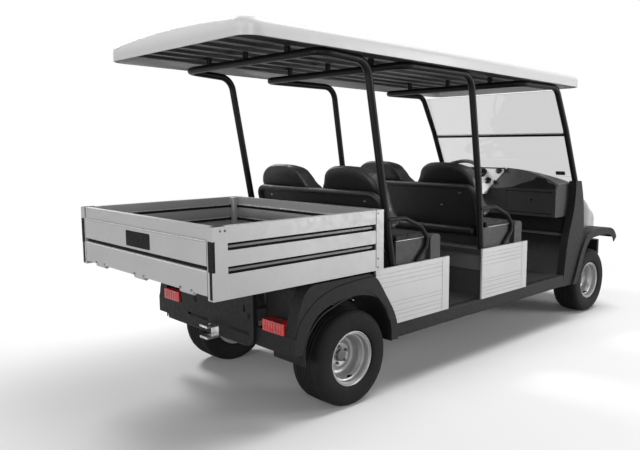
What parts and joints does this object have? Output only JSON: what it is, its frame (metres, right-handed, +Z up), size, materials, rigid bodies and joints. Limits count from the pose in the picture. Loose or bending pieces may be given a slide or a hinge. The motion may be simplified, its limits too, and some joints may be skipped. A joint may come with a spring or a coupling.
{
  "type": "golf cart",
  "caption": "Four-seat utility cart with a roof on three tube hoops, a split windscreen, two bench seats and a tipping aluminium load bed with a drop tailgate.",
  "frame": {"origin": "on the floor under the middle of the cart's length and width", "axes": "+X towards the front of the cart, +Y towards its left side, +Z up"},
  "size_m": [3.94, 1.27, 1.8731],
  "materials": {
    "frame_steel": "satin black powder coat",
    "axle_steel": "black paint",
    "spring_steel": "black painted spring steel",
    "engine_metal": "rough cast",
    "floor_mat": "ribbed mat",
    "body_plastic": "fine moulded grain",
    "cowl_plastic": "silver grey",
    "lamp_red": "ribbed red lens",
    "zinc_steel": "bright zinc",
    "bed_aluminium": "extruded, satin",
    "panel_aluminium": "satin with fine grooves",
    "latch_plastic": "black",
    "roof_plastic": "white",
    "liner_plastic": "dark",
    "post_steel": "satin black",
    "screen_glass": "lightly tinted",
    "screen_rail": "pale strip",
    "seat_vinyl": "black vinyl",
    "seat_shell": "black",
    "dash_plastic": "grained",
    "instrument_plastic": "silver grey",
    "wheel_grip": "soft grip",
    "tyre_rubber": "ribbed tread",
    "rim_steel": "silver",
    "headlamp_glass": "clear lens"
  },
  "bodies": {
    "chassis": {"armrests": "post_steel", "cowl": "cowl_plastic", "dashboard": "dash_plastic", "engine": "engine_metal", "floor": "floor_mat", "frame_brackets": "frame_steel", "frame_members": "frame_steel", "frame_rails": "frame_steel", "front_axle": "axle_steel", "front_bumper": "body_plastic", "front_fenders": "body_plastic", "front_shocks": "axle_steel", "headlamps": "headlamp_glass", "instrument_panel": "instrument_plastic", "pedals": "frame_steel", "rear_axle": "axle_steel", "rear_body": "body_plastic", "rear_fenders": "body_plastic", "rear_springs": "spring_steel", "roof_hoops": "post_steel", "roof_liner": "liner_plastic", "roof_shell": "roof_plastic", "screen_pillars": "body_plastic", "seat_back_panels": "seat_shell", "seat_backs": "seat_vinyl", "seat_bars": "frame_steel", "seat_bases": "seat_shell", "seat_cushions": "seat_vinyl", "side_panels": "panel_aluminium", "side_sills": "body_plastic", "steering_column": "dash_plastic", "tail_lamps": "lamp_red", "tow_hitch": "zinc_steel", "windscreen_panes": "screen_glass", "windscreen_rail": "screen_rail"},
    "knuckle_left": {"knuckle_left": "axle_steel"},
    "knuckle_right": {"knuckle_right": "axle_steel"},
    "tie_rod": {"tie_rod": "zinc_steel"},
    "wheel_front_left": {"tyre_front_left": "tyre_rubber", "rim_front_left": "rim_steel"},
    "wheel_front_right": {"tyre_front_right": "tyre_rubber", "rim_front_right": "rim_steel"},
    "wheel_rear_left": {"tyre_rear_left": "tyre_rubber", "rim_rear_left": "rim_steel"},
    "wheel_rear_right": {"tyre_rear_right": "tyre_rubber", "rim_rear_right": "rim_steel"},
    "cargo_bed": {"bed_floor": "bed_aluminium", "bed_channels": "frame_steel", "bed_side_walls": "bed_aluminium", "bed_front_wall": "bed_aluminium", "bed_corner_posts": "bed_aluminium", "bed_latches": "latch_plastic"},
    "tailgate": {"tailgate": "bed_aluminium"},
    "steering_wheel": {"steering_wheel": "wheel_grip"},
    "glovebox_door": {"glovebox_door": "dash_plastic"}
  },
  "joints": [
    {"name": "steer_right", "type": "hinge", "parent": "chassis", "child": "knuckle_right", "pos_m": [1.568, -0.33, 0.247], "axis": [0, 0, 1], "range_deg": [-28, 28]},
    {"name": "steer_left", "type": "hinge", "parent": "chassis", "child": "knuckle_left", "pos_m": [1.568, 0.33, 0.247], "axis": [0, 0, 1], "range_deg": [-28, 28]},
    {"name": "tie_rod_pivot", "type": "hinge", "parent": "knuckle_right", "child": "tie_rod", "pos_m": [1.456, -0.33, 0.206], "axis": [0, 0, 1], "range_deg": [-28, 28]},
    {"name": "steering_wheel_turn", "type": "hinge", "parent": "chassis", "child": "steering_wheel", "pos_m": [0.898, 0.28, 1.08], "axis": [-0.5299, 0, 0.848], "range_deg": [-336, 336]},
    {"name": "front_right_spin", "type": "hinge", "parent": "knuckle_right", "child": "wheel_front_right", "pos_m": [1.568, -0.445, 0.247], "axis": [0, 1, 0], "continuous": true},
    {"name": "front_left_spin", "type": "hinge", "parent": "knuckle_left", "child": "wheel_front_left", "pos_m": [1.568, 0.445, 0.247], "axis": [0, 1, 0], "continuous": true},
    {"name": "rear_right_spin", "type": "hinge", "parent": "chassis", "child": "wheel_rear_right", "pos_m": [-1.132, -0.5, 0.247], "axis": [0, 1, 0], "continuous": true},
    {"name": "rear_left_spin", "type": "hinge", "parent": "chassis", "child": "wheel_rear_left", "pos_m": [-1.132, 0.5, 0.247], "axis": [0, 1, 0], "continuous": true},
    {"name": "bed_tilt", "type": "hinge", "parent": "chassis", "child": "cargo_bed", "pos_m": [-1.482, 0, 0.662], "axis": [0, -1, 0], "range_deg": [0, 38]},
    {"name": "tailgate_swing", "type": "hinge", "parent": "cargo_bed", "child": "tailgate", "pos_m": [-1.958, 0, 0.697], "axis": [0, -1, 0], "range_deg": [0, 90]},
    {"name": "glovebox_swing", "type": "hinge", "parent": "chassis", "child": "glovebox_door", "pos_m": [0.9725, -0.326, 0.8155], "axis": [0, -1, 0], "range_deg": [0, 80]}
  ],
  "couplings": [
    {"joint": "steer_left", "follows": "steer_right", "ratio": 1},
    {"joint": "tie_rod_pivot", "follows": "steer_right", "ratio": -1},
    {"joint": "steering_wheel_turn", "follows": "steer_right", "ratio": 12}
  ]
}
